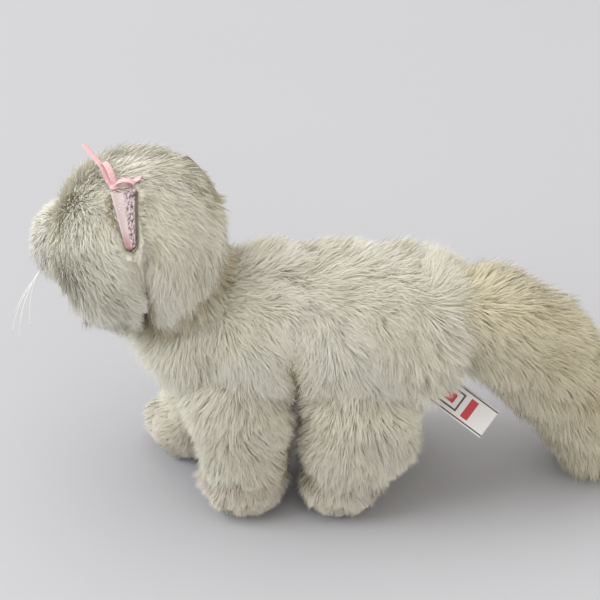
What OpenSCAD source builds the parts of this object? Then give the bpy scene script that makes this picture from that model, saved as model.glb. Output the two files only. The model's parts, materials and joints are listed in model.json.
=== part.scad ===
// Plush cat, standing, with its head turned to its own right and its tail down to the ground.
// Millimetres. The cat faces -X, its own left side is -Y, and +Z is up. The soles are at z = 0.

/* [Torso] */
// Length of the torso, chest to rump
torso_length = 186; // [180:1:192]
// Radius of the torso at its thickest, with half of the pile
torso_radius = 45; // [44:0.5:47]
// Height of the torso's axis above the ground
torso_height = 116; // [112:1:120]
// Thickness of the fabric with its packed pile
pile = 5; // [3:0.5:7]

/* [Head] */
// Radius of the head
head_radius = 50; // [47:0.5:51]
// Height of the head's centre above the ground
head_height = 179; // [177:1:182]
// How far the face is turned to the cat's right
head_yaw = 32; // [0:1:35]
// Radius of the muzzle
muzzle_radius = 20; // [17:0.5:21]
// Length of an ear
ear_length = 38; // [28:1:40]
// Width of an ear at its base
ear_width = 18; // [16:1:20]
// Diameter of an eye's dome
eye_diameter = 12; // [10:0.5:12.5]

/* [Legs] */
// Distance between the left and the right paws, centre to centre
track = 56; // [54:1:60]
// Radius of the front legs at the shoulder
shoulder_radius = 30; // [26:0.5:31]
// Radius of the hind legs at the hip
hip_radius = 34; // [30:0.5:34.5]
// Radius of a paw
paw_radius = 23; // [20:0.5:24]
// How far the right front paw is put forward
right_step = 36; // [0:1:38]

/* [Tail] */
// Radius of the tail at its thickest
tail_radius = 28; // [24:0.5:29]
// Radius of the tail where it leaves the body
tail_root_radius = 20; // [18:0.5:20.5]

/* [Ribbon and label] */
// Width of the ribbon
ribbon_width = 3.2; // [2.5:0.1:4]
// Thickness of the ribbon
ribbon_thickness = 0.8; // [0.6:0.1:1]
// Width of the sewn-in label
label_width = 20; // [16:1:22]
// Length of the label that shows
label_length = 45; // [36:1:48]

/* [Hidden] */
$fn = 64;
big = 400;
gap = 0.6;
slack = 0.15;
// The middle of the bounding box, so that the frame's origin is under it
middle = [181.262, 11.539];

torso_front = 73;
torso_middle = torso_front + torso_length / 2;
// The strip between the legs, from this far below the torso's axis
belly_width = 24;
belly_drop = 10;
head = [67, 2, head_height];
neck = [94.3, 0.9, 145.3];
neck_radius = 31;
tail_root = [250, 0, 122];
tail_ball = 26;

shoulder = [125, track / 2, torso_height - 38];
hip = [201, track / 2, torso_height - 36];
core_half = 8.4;
leg_outer = 48;
paw_height = 30;
// How much of a paw's ball is cut off by its flat sole
sole_cut = 4;
front_paw_shift = 5;
hind_paw_shift = -12;

face_tilt = 20;
muzzle_out = 50;
// The seam between the front and the back of the head, behind its centre
head_seam = 3;
// How far from the top of the head the left and the right ear sit: the head is tilted to its right
ear_leans = [23, 42];
// How far an ear dips below the head's slope at its seam
ear_dip = 8.5;
ear_lift = 4;
ear_back = 7.2;
// How far the ears are swept back
ear_turn = 35;
ear_thickness = 2.6;
lining_thickness = 1.2;
eye_side = 14;
eye_up = 9;
whisker_radius = 0.5;
whisker_root = [-0.47, 0.69, -0.55];
whisker_length = 50;
whisker_splay = 140;
ribbon_at = [-1.3, -19.5, 50];
label_seam = [240.5, -16, 87];
label_start = 2.6;
label_tilt = 52;
label_hang = 36.5;
label_thickness = 0.8;

white = [0.93, 0.92, 0.88];
cream = [0.88, 0.86, 0.78];
filling = [0.96, 0.96, 0.95];
pink = [0.93, 0.68, 0.72];
lilac = [0.82, 0.74, 0.77];
clear = [0.9, 0.92, 0.95];
plastic = [0.2, 0.35, 0.6];
satin = [0.97, 0.97, 0.95];

// Everything stands in the cat's own frame, with the origin under the middle of its box.
module placed() {
    translate([-middle.x, -middle.y, 0]) children();
}

module right_of(y) {
    translate([-big, y, -big]) cube(2 * big);
}

module left_of(y) {
    mirror([0, 1, 0]) right_of(-y);
}

module below(z) {
    translate([-big, -big, z - 2 * big]) cube(2 * big);
}

module above(z) {
    translate([-big, -big, z]) cube(2 * big);
}

// ---- Torso ----

// Half outline of the torso along its axis: a superellipse, blunt at both ends.
function torso_outline(length, radius, steps = 22) = [
    for (i = [0 : steps])
        let (a = 180 * i / steps, x = -cos(a) * length / 2)
        [radius * pow(max(0, 1 - pow(abs(2 * x / length), 2.4)), 1 / 2.4), x]
];

module torso_solid(inset) {
    translate([torso_middle, 0, torso_height])
        rotate([0, 90, 0])
            rotate_extrude()
                polygon(torso_outline(torso_length - 2 * inset, torso_radius - inset));
}

// Room for the neck, the tail's root and the four legs.
module torso_pockets() {
    translate(neck) sphere(neck_radius + gap);
    translate(tail_root) sphere(tail_ball + gap);
    for (side = [-1, 1], joint = [[shoulder, shoulder_radius], [hip, hip_radius]])
        translate([joint[0].x, side * core_half, joint[0].z])
            rotate([-90 * side, 0, 0])
                cylinder(r = joint[1] + gap, h = big);
}

module torso_shell() {
    difference() {
        torso_solid(0);
        torso_solid(pile);
        torso_pockets();
    }
}

module belly_strip() {
    translate([-big, -belly_width / 2, torso_height - belly_drop - big])
        cube([2 * big, belly_width, big]);
}

module body_half_cover(side) {
    color(white)
        difference() {
            torso_shell();
            belly_strip();
            if (side < 0) right_of(0);
            if (side > 0) left_of(0);
        }
}

module body_left_cover() {
    body_half_cover(-1);
}

module body_right_cover() {
    body_half_cover(1);
}

module belly_cover() {
    color(cream)
        intersection() {
            torso_shell();
            belly_strip();
        }
}

module body_stuffing() {
    color(filling)
        difference() {
            torso_solid(pile);
            torso_pockets();
        }
}

// ---- Neck: a firm ball of stuffing in its own cover, on which the head turns and nods ----

module neck_cover() {
    color(white)
        translate(neck)
            difference() {
                sphere(neck_radius);
                sphere(neck_radius - pile);
            }
}

module neck_stuffing() {
    color(filling)
        translate(neck) sphere(neck_radius - pile);
}

// ---- Head, drawn with its centre at the origin and its face to -X, then turned and placed ----

module head_placed() {
    translate(head) rotate([0, 0, -head_yaw]) children();
}

// Moves something that points along +Z so that it points outward from the head's centre.
// side is degrees from straight ahead to the cat's left, up is degrees above the horizon.
module outward(side, up, distance) {
    rotate([0, 0, 180 + side])
        rotate([0, 90 - up, 0])
            translate([0, 0, distance]) children();
}

module muzzle_solid(inset) {
    outward(0, -face_tilt, muzzle_out) sphere(muzzle_radius - inset);
}

module neck_socket() {
    translate(neck) sphere(neck_radius + gap);
}

module head_shell() {
    difference() {
        sphere(head_radius);
        sphere(head_radius - pile);
        muzzle_solid(pile);
    }
}

module face_cover() {
    color(white)
        difference() {
            head_placed()
                difference() {
                    head_shell();
                    translate([head_seam, -big, -big]) cube(2 * big);
                    for (side = [-1, 1]) eye_cut(side);
                }
            neck_socket();
        }
}

module head_back_cover() {
    color(white)
        difference() {
            head_placed()
                difference() {
                    head_shell();
                    translate([head_seam - 2 * big, -big, -big]) cube(2 * big);
                }
            neck_socket();
        }
}

module muzzle_cover() {
    color(white)
        head_placed()
            difference() {
                muzzle_solid(0);
                muzzle_solid(pile);
                sphere(head_radius);
                nose_cut();
            }
}

module head_stuffing() {
    color(filling)
        difference() {
            head_placed()
                difference() {
                    union() {
                        sphere(head_radius - pile - slack);
                        muzzle_solid(pile + slack);
                    }
                    nose_cut();
                    for (side = [-1, 1]) eye_cut(side);
                }
            neck_socket();
        }
}

// ---- Nose and eyes: moulded domes with a stem, held inside by a washer ----

nose_up = -15;
nose_out = muzzle_out + muzzle_radius - 1.2;
nose_size = 12;
nose_shape = [0.75, 1, 0.6];
stem_radius = 2;
washer_radius = 6;
washer_thickness = 1.6;
nose_washer_out = nose_out - 12;
eye_washer_out = head_radius - pile - 3;
nose_stem = 14;
eye_stem = 10;

module stem(washer_out, length) {
    translate([0, 0, washer_out - 1]) cylinder(r = stem_radius, h = length);
}

module washer_disc(washer_out) {
    translate([0, 0, washer_out]) cylinder(r = washer_radius, h = washer_thickness);
}

module washer(washer_out) {
    difference() {
        washer_disc(washer_out);
        stem(washer_out, nose_stem);
    }
}

module nose_cut() {
    outward(0, nose_up, 0) {
        washer_disc(nose_washer_out);
        stem(nose_washer_out, nose_stem);
    }
}

module nose() {
    color(pink)
        head_placed() {
            difference() {
                outward(0, nose_up, nose_out) scale(nose_shape) sphere(nose_size / 2);
                muzzle_solid(0);
            }
            outward(0, nose_up, 0) stem(nose_washer_out, nose_stem);
        }
}

module nose_washer() {
    color(clear)
        head_placed()
            outward(0, nose_up, 0) washer(nose_washer_out);
}

module eye_cut(side) {
    outward(side * eye_side, eye_up, 0) {
        washer_disc(eye_washer_out);
        stem(eye_washer_out, eye_stem);
    }
}

module eye(side) {
    color(plastic)
        head_placed()
            union() {
                difference() {
                    outward(side * eye_side, eye_up, head_radius - 2)
                        sphere(eye_diameter / 2, $fn = 120);
                    sphere(head_radius, $fn = 240);
                }
                outward(side * eye_side, eye_up, 0) stem(eye_washer_out, eye_stem);
            }
}

module left_eye() {
    eye(1);
}

module right_eye() {
    eye(-1);
}

module eye_washer(side) {
    color(clear)
        head_placed()
            outward(side * eye_side, eye_up, 0) washer(eye_washer_out);
}

module left_eye_washer() {
    eye_washer(1);
}

module right_eye_washer() {
    eye_washer(-1);
}

// The mouth is one line of stitches down from the nose, on the muzzle's surface.
module mouth_stitch() {
    color(pink)
        head_placed()
            outward(0, -face_tilt, muzzle_out)
                for (a = [22 : 9 : 40])
                    rotate([0, a, 0])
                        translate([0, 0, muzzle_radius + 0.5])
                            rotate([0, 90, 0])
                                cylinder(r = 0.5, h = 2.4, center = true);
}

// Three nylon filaments on each side of the muzzle.
module whiskers(side) {
    color(clear)
        head_placed()
            translate(muzzle_out * [-cos(face_tilt), 0, -sin(face_tilt)])
                for (fan = [-14, 0, 14])
                    translate((muzzle_radius + 1.7) * [
                        whisker_root.x + fan / 100, -side * whisker_root.y, whisker_root.z
                    ])
                        rotate([side * whisker_splay, fan, 0])
                            cylinder(r = whisker_radius, h = whisker_length, $fn = 16);
}

module left_whiskers() {
    whiskers(1);
}

module right_whiskers() {
    whiskers(-1);
}

// ---- Ears: a furry cover and a smooth lining, on a seam that they flap about ----

// Puts the ear's frame at its seam: the leaf lies in the XY plane and points along +X.
module at_ear(side) {
    lean = side > 0 ? ear_leans[0] : ear_leans[1];
    head_placed()
        rotate([side * lean, 0, 0])
            translate([ear_back, 0, head_radius + ear_lift])
                rotate([0, 0, side * (ear_turn - 90)])
                    rotate([0, ear_dip, 0])
                        children();
}

// A pointed leaf with a rounded tip.
module ear_outline(inset) {
    hull() {
        translate([2, 0]) square([1, ear_width - 2 * inset], center = true);
        translate([ear_length - 5.5, 0]) circle(5 - inset / 2);
    }
}

module ear_cover(side) {
    color(white)
        at_ear(side)
            translate([0, 0, -ear_thickness])
                linear_extrude(ear_thickness) ear_outline(0);
}

module ear_lining(side) {
    color(lilac)
        at_ear(side)
            linear_extrude(lining_thickness) ear_outline(2);
}

module left_ear_cover() {
    ear_cover(1);
}

module left_ear_lining() {
    ear_lining(1);
}

module right_ear_cover() {
    ear_cover(-1);
}

module right_ear_lining() {
    ear_lining(-1);
}

// ---- Ribbon bow in front of the left ear: one ribbon, tied ----

module ribbon_strip(length) {
    translate([0, -ribbon_width / 2, -ribbon_thickness / 2])
        cube([length, ribbon_width, ribbon_thickness]);
}

function oval(length, height, steps = 24) = [
    for (i = [0 : steps - 1])
        let (a = 360 * i / steps) [cos(a) * length / 2, sin(a) * height / 2]
];

module ribbon_loop(length, height) {
    translate([length / 2, 0, 0])
        rotate([90, 0, 0])
            linear_extrude(ribbon_width, center = true)
                difference() {
                    polygon(oval(length, height));
                    polygon(oval(length - 2 * ribbon_thickness, height - 2 * ribbon_thickness));
                }
}

// Loops and tails around the knot, each as [turn, rise, length].
ribbon_loops = [[154, 44, 14], [28, 12, 11]];
ribbon_tails = [[167, 38, 30], [42, 10, 16]];
loop_height = 6;
knot_size = [4.2, 4.6, 4.2];
knot_grip = 1.4;

// Turns something that points along +X to where a loop or a tail of the bow points.
module from_knot(way) {
    rotate([0, -way[1], way[0]])
        translate([knot_grip, 0, 0])
            children();
}

module ribbon_bow() {
    color(pink)
        head_placed()
            translate(ribbon_at) {
                for (loop = ribbon_loops) from_knot(loop) ribbon_loop(loop[2], loop_height);
                for (tail = ribbon_tails) from_knot(tail) ribbon_strip(tail[2]);
                cube(knot_size, center = true);
            }
}

// ---- Legs ----

// One leg: a round top that turns on the joint's axis, a tapering limb and a flat-soled paw.
// paw_x is the paw's centre, and inset shrinks the solid on every side.
module leg_solid(joint, radius, paw_x, inset) {
    lean = atan2(paw_x - joint.x, joint.z - paw_height);
    limb = sqrt(pow(paw_x - joint.x, 2) + pow(joint.z - paw_height, 2));
    inner = core_half + gap + inset;
    knee_radius = 0.66 * radius;
    foot_radius = paw_radius - 2;
    difference() {
        union() {
            translate([joint.x, inner, joint.z])
                rotate([-90, 0, 0])
                    cylinder(r = radius - inset, h = leg_outer - inset - inner);
            intersection() {
                translate(joint)
                    rotate([0, 180 - lean, 0])
                        cylinder(
                            r1 = knee_radius - inset,
                            r2 = foot_radius - inset,
                            h = limb
                        );
                right_of(inner);
            }
            translate([paw_x, joint.y, paw_radius - sole_cut]) sphere(paw_radius - inset);
        }
        below(inset);
    }
}

module leg_cover(side, joint, radius, paw_x) {
    color(white)
        mirror([0, side < 0 ? 1 : 0, 0])
            difference() {
                leg_solid(joint, radius, paw_x, 0);
                leg_solid(joint, radius, paw_x, pile);
                below(paw_height);
            }
}

module paw_cover(side, joint, radius, paw_x) {
    color(cream)
        mirror([0, side < 0 ? 1 : 0, 0])
            difference() {
                leg_solid(joint, radius, paw_x, 0);
                leg_solid(joint, radius, paw_x, pile);
                above(paw_height);
            }
}

module leg_stuffing(side, joint, radius, paw_x) {
    color(filling)
        mirror([0, side < 0 ? 1 : 0, 0])
            leg_solid(joint, radius, paw_x, pile);
}

front_left_paw = shoulder.x + front_paw_shift;
front_right_paw = front_left_paw - right_step;
hind_paw = hip.x + hind_paw_shift;

module front_left_leg_cover() {
    leg_cover(-1, shoulder, shoulder_radius, front_left_paw);
}

module front_left_paw_cover() {
    paw_cover(-1, shoulder, shoulder_radius, front_left_paw);
}

module front_left_leg_stuffing() {
    leg_stuffing(-1, shoulder, shoulder_radius, front_left_paw);
}

module front_right_leg_cover() {
    leg_cover(1, shoulder, shoulder_radius, front_right_paw);
}

module front_right_paw_cover() {
    paw_cover(1, shoulder, shoulder_radius, front_right_paw);
}

module front_right_leg_stuffing() {
    leg_stuffing(1, shoulder, shoulder_radius, front_right_paw);
}

module hind_left_leg_cover() {
    leg_cover(-1, hip, hip_radius, hind_paw);
}

module hind_left_paw_cover() {
    paw_cover(-1, hip, hip_radius, hind_paw);
}

module hind_left_leg_stuffing() {
    leg_stuffing(-1, hip, hip_radius, hind_paw);
}

module hind_right_leg_cover() {
    leg_cover(1, hip, hip_radius, hind_paw);
}

module hind_right_paw_cover() {
    paw_cover(1, hip, hip_radius, hind_paw);
}

module hind_right_leg_stuffing() {
    leg_stuffing(1, hip, hip_radius, hind_paw);
}

// ---- Tail: thick, out from the rump and down to the ground ----

// The tail's line, from its root to its end, as [x, z, radius].
tail_line = [
    [252, 121, tail_root_radius],
    [280, 118, tail_radius - 3],
    [310, 93, tail_radius],
    [335, 54, tail_radius],
    [346, tail_radius, tail_radius]
];

module tail_stretch(from, to, inset) {
    run = to - from;
    translate([from[0], 0, from[1]])
        rotate([0, atan2(run[0], run[1]), 0])
            cylinder(r1 = from[2] - inset, r2 = to[2] - inset, h = norm([run[0], run[1]]));
}

// The bends are a little thicker than the stretches that meet at them.
bend_swell = 0.7;

module tail_solid(inset) {
    difference() {
        union() {
            for (i = [0 : len(tail_line) - 2])
                tail_stretch(tail_line[i], tail_line[i + 1], inset);
            for (i = [1 : len(tail_line) - 1])
                translate([tail_line[i][0], 0, tail_line[i][1]])
                    sphere(tail_line[i][2] + bend_swell - inset);
        }
        translate(tail_root) sphere(tail_ball + gap);
        below(inset);
    }
}

module tail_root_stuffing() {
    color(white)
        translate(tail_root) sphere(tail_ball);
}

module tail_cover() {
    color(cream)
        difference() {
            tail_solid(0);
            tail_solid(pile);
        }
}

module tail_stuffing() {
    color(filling) tail_solid(pile);
}

// ---- Label, sewn into the seam under the rump on the left ----

// Turns a plate that lies in the XY plane, with its seam on the Y axis, to where the label hangs.
module at_label() {
    translate(label_seam)
        rotate([label_tilt, 0, 0])
            rotate([0, 0, -label_hang])
                children();
}

module label() {
    color(satin)
        at_label()
            translate([label_start, -label_width / 2, -label_thickness / 2])
                cube([label_length, label_width, label_thickness]);
}

placed() body_left_cover();
placed() body_right_cover();
placed() belly_cover();
placed() body_stuffing();
placed() neck_cover();
placed() neck_stuffing();
placed() face_cover();
placed() head_back_cover();
placed() muzzle_cover();
placed() head_stuffing();
placed() nose();
placed() nose_washer();
placed() mouth_stitch();
placed() left_eye();
placed() right_eye();
placed() left_eye_washer();
placed() right_eye_washer();
placed() left_whiskers();
placed() right_whiskers();
placed() left_ear_cover();
placed() left_ear_lining();
placed() right_ear_cover();
placed() right_ear_lining();
placed() ribbon_bow();
placed() front_left_leg_cover();
placed() front_left_paw_cover();
placed() front_left_leg_stuffing();
placed() front_right_leg_cover();
placed() front_right_paw_cover();
placed() front_right_leg_stuffing();
placed() hind_left_leg_cover();
placed() hind_left_paw_cover();
placed() hind_left_leg_stuffing();
placed() hind_right_leg_cover();
placed() hind_right_paw_cover();
placed() hind_right_leg_stuffing();
placed() tail_root_stuffing();
placed() tail_cover();
placed() tail_stuffing();
placed() label();
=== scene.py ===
"""The looks of a plush cat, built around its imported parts.

The fur is real: each cover is a soft skin with thousands of fine strands that grow out of it, lie
the way the pile is combed and gather into locks. Lengths are millimetres in the row frame, and a
mesh is scaled to metres when it is made.
"""

import json
import math

import bpy
import numpy as np
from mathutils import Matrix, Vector
from mathutils.kdtree import KDTree


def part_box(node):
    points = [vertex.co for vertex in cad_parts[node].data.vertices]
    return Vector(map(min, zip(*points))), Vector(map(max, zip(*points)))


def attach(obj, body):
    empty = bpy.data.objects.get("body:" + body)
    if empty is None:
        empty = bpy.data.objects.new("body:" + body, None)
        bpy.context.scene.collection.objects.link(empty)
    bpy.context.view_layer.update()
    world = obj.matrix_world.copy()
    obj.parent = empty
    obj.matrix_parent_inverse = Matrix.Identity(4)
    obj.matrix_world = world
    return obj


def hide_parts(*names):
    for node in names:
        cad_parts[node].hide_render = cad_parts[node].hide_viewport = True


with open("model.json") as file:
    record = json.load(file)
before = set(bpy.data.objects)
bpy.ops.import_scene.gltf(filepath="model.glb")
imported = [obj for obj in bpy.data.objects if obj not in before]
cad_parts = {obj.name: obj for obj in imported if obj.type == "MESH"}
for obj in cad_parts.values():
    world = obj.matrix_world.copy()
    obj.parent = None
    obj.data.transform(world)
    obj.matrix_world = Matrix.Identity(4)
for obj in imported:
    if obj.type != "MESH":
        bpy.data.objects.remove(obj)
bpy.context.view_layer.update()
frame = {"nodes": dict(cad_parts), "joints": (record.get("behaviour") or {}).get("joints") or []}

MM = 0.001
BAKE_UV = "OFBake"
# The tints that strands may have, as bands of the map.
LEVELS = 48
# A strand's steps from root to tip, its vertices and the corners of its faces.
STEPS = 3
STRAND_VERTS = 2 * STEPS + 1
STRAND_FACES = [4, 4, 3]
# How much strands sag, and how far a lock's strands close up at its tip.
SINK = 0.12
CLOSING = 0.82
# How high strands and skins stay above the floor.
STRAND_GAP = 0.4
SKIN_GAP = 0.6
THIN_OUT = 1.0


# ---- Places, from the frame ----


def box(node):
    """The lowest and highest corner of a CAD node, in millimetres."""
    low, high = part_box(node)
    return np.array(low) / MM, np.array(high) / MM


def half_height(node):
    low, high = box(node)
    return (high - low)[2] / 2


def corners_of(node):
    """A CAD node's vertices, in millimetres."""
    item = frame["nodes"][node]
    flat = np.empty(3 * len(item.data.vertices))
    item.data.vertices.foreach_get("co", flat)
    place = np.array(item.matrix_world)
    return (flat.reshape(-1, 3) @ place[:3, :3].T + place[:3, 3]) / MM


pivots = {j["name"]: np.array(j["pos_m"]) / MM for j in frame["joints"]}
axes = {j["name"]: np.array(j["axis"], float) for j in frame["joints"]}

# The head's own axes: forward to the nose, aside to the cat's left, and up.
nod = axes["head_nod"]
FORWARD = np.array([-nod[1], nod[0], 0.0])
ASIDE = -nod
UP = np.array([0.0, 0.0, 1.0])

face_low, face_high = box("face_cover")
back_low, back_high = box("head_back_cover")
HEAD = (np.minimum(face_low, back_low) + np.maximum(face_high, back_high)) / 2
HEAD_RADIUS = (face_high[2] - face_low[2]) / 2
# How far behind the head's middle the seam lies, and the creases below the ears.
SEAM_BEHIND = 3
CREASE_BEHIND = 6
MUZZLE_OUT = 50
MUZZLE_TILT = math.radians(20)
MUZZLE_RADIUS = 20
MUZZLE_WAY = math.cos(MUZZLE_TILT) * FORWARD - math.sin(MUZZLE_TILT) * UP
MUZZLE = HEAD + MUZZLE_OUT * MUZZLE_WAY


def outward(side, up):
    """A direction from the head's centre, in degrees to the cat's left and above the horizon."""
    side, up = math.radians(side), math.radians(up)
    level = math.cos(side) * FORWARD + math.sin(side) * ASIDE
    return math.cos(up) * level + math.sin(up) * UP


NOSE_WAY = outward(0, -15)
NOSE_OUT = 67.5
NOSE = HEAD + NOSE_OUT * NOSE_WAY
EYE_RADIUS = 6
# The eyes sit a little deeper in the pile than the plain head shows.
EYE_OUT = HEAD_RADIUS - 3.5
EYE_WAYS = {"left": outward(14, 9), "right": outward(-14, 9)}
EYES = {side: HEAD + EYE_OUT * way for side, way in EYE_WAYS.items()}
MOUTH_ANGLES = [22, 31, 40]
BOW_KNOT = HEAD + 1.3 * FORWARD + 19.5 * ASIDE + 50 * UP

NECK = pivots["neck_turn"]
NECK_RADIUS = half_height("neck_cover")
TAIL_ROOT = pivots["tail_swing"]
ROOT_RADIUS = half_height("tail_root_stuffing")

torso_low, torso_high = box("body_left_cover")
TORSO_RADIUS = torso_high[1] - torso_low[1]
TORSO_AXIS = np.array([0, torso_high[1], torso_high[2] - TORSO_RADIUS])
TORSO_FRONT = torso_low[0]
TORSO_LENGTH = 186
TORSO_BLUNT = 2.4
RUMP_BLUNT = 5
SPINE_Y = torso_high[1]

# How far inside the plain CAD shapes the fur's skins lie, and the skins of the fillings.
SKIN_DEPTH = 4
FILL_DEPTH = 8


# ---- Small helpers ----


def unit(vectors):
    size = np.linalg.norm(vectors, axis=-1, keepdims=True)
    return vectors / np.maximum(size, 1e-9)


def distance(points, place):
    return np.linalg.norm(points - place, axis=1)


def dot(a, b):
    return (a * b).sum(-1, keepdims=True)


def turns(count):
    """Angles all the way round."""
    return np.linspace(0, 2 * np.pi, count, endpoint=False)


def larger(a, b, soft):
    """The larger of two, rounded where they meet."""
    return 0.5 * (a + b + np.sqrt((a - b) ** 2 + soft**2))


def step_up(x, low, high):
    """0 below low, 1 above high, and smooth between."""
    t = np.clip((x - low) / (high - low), 0, 1)
    return t * t * (3 - 2 * t)


def bump(x, size):
    """1 where x is 0, and falling off on both sides within about the size."""
    return np.exp(-((x / size) ** 2))


def waves(points, size, seed):
    """Smooth noise, mostly between -1 and 1, with features about size millimetres across."""
    rng = np.random.default_rng(seed)
    count = 7
    way = unit(rng.normal(size=(count, 3)))
    wave = way * (2 * np.pi / size) * rng.uniform(0.55, 1.3, (count, 1))
    phase = rng.uniform(0, 2 * np.pi, count)
    return np.sin(points @ wave.T + phase).sum(1) / math.sqrt(count)


def placed(name, data):
    """A new object of the scene that holds a mesh, a lamp or a camera."""
    item = bpy.data.objects.new(name, data)
    bpy.context.scene.collection.objects.link(item)
    return item


# ---- Skins: closed meshes of triangles that the fur grows on ----


def loft(rings, start, end):
    """A closed skin through rings of points, with a point at each end."""
    count, around = rings.shape[:2]
    points = np.vstack([[start], rings.reshape(-1, 3), [end]])
    this = np.arange(around)
    following = (this + 1) % around
    faces = [np.stack([np.zeros_like(this), 1 + following, 1 + this], 1)]
    for r in range(count - 1):
        a = 1 + r * around
        b = a + around
        faces.append(np.stack([a + this, a + following, b + following], 1))
        faces.append(np.stack([a + this, b + following, b + this], 1))
    last = 1 + (count - 1) * around
    faces.append(np.stack([last + this, last + following, np.full_like(this, len(points) - 1)], 1))
    faces = np.vstack(faces)
    a, b, c = corner_points(points, faces)
    if (a * np.cross(b, c)).sum() < 0:
        faces = faces[:, ::-1]
    return points, faces, vertex_normals(points, faces)


def corner_points(points, faces):
    return points[faces[:, 0]], points[faces[:, 1]], points[faces[:, 2]]


def vertex_normals(points, faces):
    a, b, c = corner_points(points, faces)
    across = np.cross(b - a, c - a)
    normals = np.zeros_like(points)
    for corner in range(3):
        np.add.at(normals, faces[:, corner], across)
    return unit(normals)


def round_skin(centre, radius, way=UP, rows=28, around=40):
    """A skin around a centre whose distance from it is radius(directions)."""
    side = unit(np.cross(way, [0.3, 0.9, 0.1]))
    other = np.cross(way, side)
    tilt = np.linspace(0, np.pi, rows + 2)[1:-1, None, None]
    turn = turns(around)[None, :, None]
    ways = np.cos(tilt) * way + np.sin(tilt) * (np.cos(turn) * side + np.sin(turn) * other)
    ends = np.array([way, -way])
    rings = centre + ways * radius(ways.reshape(-1, 3)).reshape(rows, around, 1)
    tips = centre + ends * radius(ends)[:, None]
    return loft(rings, tips[0], tips[1])


def torso_reach(x):
    """The torso's radius at x."""
    t = np.clip(2 * (x - TORSO_FRONT) / TORSO_LENGTH - 1, -1, 1)
    blunt = np.where(t > 0, RUMP_BLUNT, TORSO_BLUNT)
    return TORSO_RADIUS * (1 - np.abs(t) ** blunt) ** (1 / blunt)


def torso_skin(inset):
    turn = np.linspace(0, np.pi, 50)[1:-1]
    x = TORSO_FRONT + TORSO_LENGTH * (1 - np.cos(turn)) / 2
    squeeze = 1 - 2 * inset / TORSO_LENGTH
    centre = TORSO_FRONT + TORSO_LENGTH / 2
    radius = np.maximum(torso_reach(x) - inset, 1)
    around = turns(64)
    rings = np.zeros((len(x), len(around), 3))
    rings[:, :, 0] = (centre + (x - centre) * squeeze)[:, None]
    rings[:, :, 1] = TORSO_AXIS[1] + radius[:, None] * np.cos(around)
    rings[:, :, 2] = TORSO_AXIS[2] + radius[:, None] * np.sin(around)
    start = TORSO_AXIS + [centre - TORSO_LENGTH / 2 * squeeze, 0, 0]
    end = TORSO_AXIS + [centre + TORSO_LENGTH / 2 * squeeze, 0, 0]
    return loft(rings, start, end)


def past_crease(local):
    """How far a place on the head, from its centre, lies behind the creases below the ears."""
    return -0.85 * (local @ FORWARD) - 0.53 * np.abs(local @ ASIDE) - CREASE_BEHIND


def below_ear(local):
    """1 along the crease that runs down from each ear, and 0 away from it."""
    beside = step_up(np.abs(local @ ASIDE), 5, 20)
    return bump(past_crease(local), 6) * step_up(-local[:, 2], -36, -4) * beside


def head_skin(inset):
    """The head with its muzzle, and the creases that run down from the ears."""

    def reach(ways):
        along = ways @ (MUZZLE - HEAD)
        under = along**2 - MUZZLE_OUT**2 + (MUZZLE_RADIUS - inset * 0.5) ** 2
        muzzle = np.where(under > 0, along + np.sqrt(np.maximum(under, 0)), 0)
        crease = 10 * below_ear(ways * HEAD_RADIUS)
        return larger(HEAD_RADIUS - inset - crease, muzzle, 12)

    return round_skin(HEAD, reach, MUZZLE_WAY, 44, 60)


# The height at which a leg's limb begins above its paw.
LIMB_START = 30


def leg_shape(leg):
    """The leg's half width along x and y and its middle at height z, as functions."""
    pivot = pivots[leg + "_leg_swing"]
    low, high = box(leg + "_paw_cover")
    paw_radius = (high[1] - low[1]) / 2
    # The front right paw's box also holds a part of its leg, which steps forward.
    paw_x = low[0] + paw_radius if leg == "front_right" else (low[0] + high[0]) / 2
    ball_height = paw_radius - 4
    top_radius = box(leg + "_leg_cover")[1][2] - pivot[2]
    knee = 0.72 * top_radius
    half_disc = 19.5
    swell, shift = (10, 4.5) if leg.startswith("hind") else (2, 3)

    def thigh(z):
        return step_up(z, 18, 42) * (1 - step_up(z, 64, 96))

    def up_leg(z):
        return np.clip((z - ball_height) / (pivot[2] - ball_height), 0, 1)

    def ball_and_limb(z):
        ball = np.sqrt(np.clip(paw_radius**2 - (z - ball_height) ** 2, 0, None))
        limb = (paw_radius - 1) * (1 - up_leg(z)) + knee * up_leg(z)
        limb = limb * np.clip((pivot[2] + 0.5 * top_radius - z) / 12, 0, 1) ** 0.5
        return larger(ball, np.where(z < LIMB_START, 0, limb), 1)

    def disc(z):
        return np.sqrt(np.clip(top_radius**2 - (z - pivot[2]) ** 2, 0, None))

    def disc_side(z):
        t = np.clip(np.abs(z - pivot[2]) / top_radius, 0, 1)
        return half_disc * (1 - t**3) ** (1 / 3)

    def half_x(z):
        return larger(ball_and_limb(z) + swell * thigh(z), disc(z), 3)

    def half_y(z):
        return larger(ball_and_limb(z), disc_side(z), 3)

    def centre(z):
        return paw_x + (pivot[0] - paw_x) * up_leg(z) + shift * thigh(z)

    return half_x, half_y, centre, pivot[1], pivot[2] + top_radius


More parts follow.
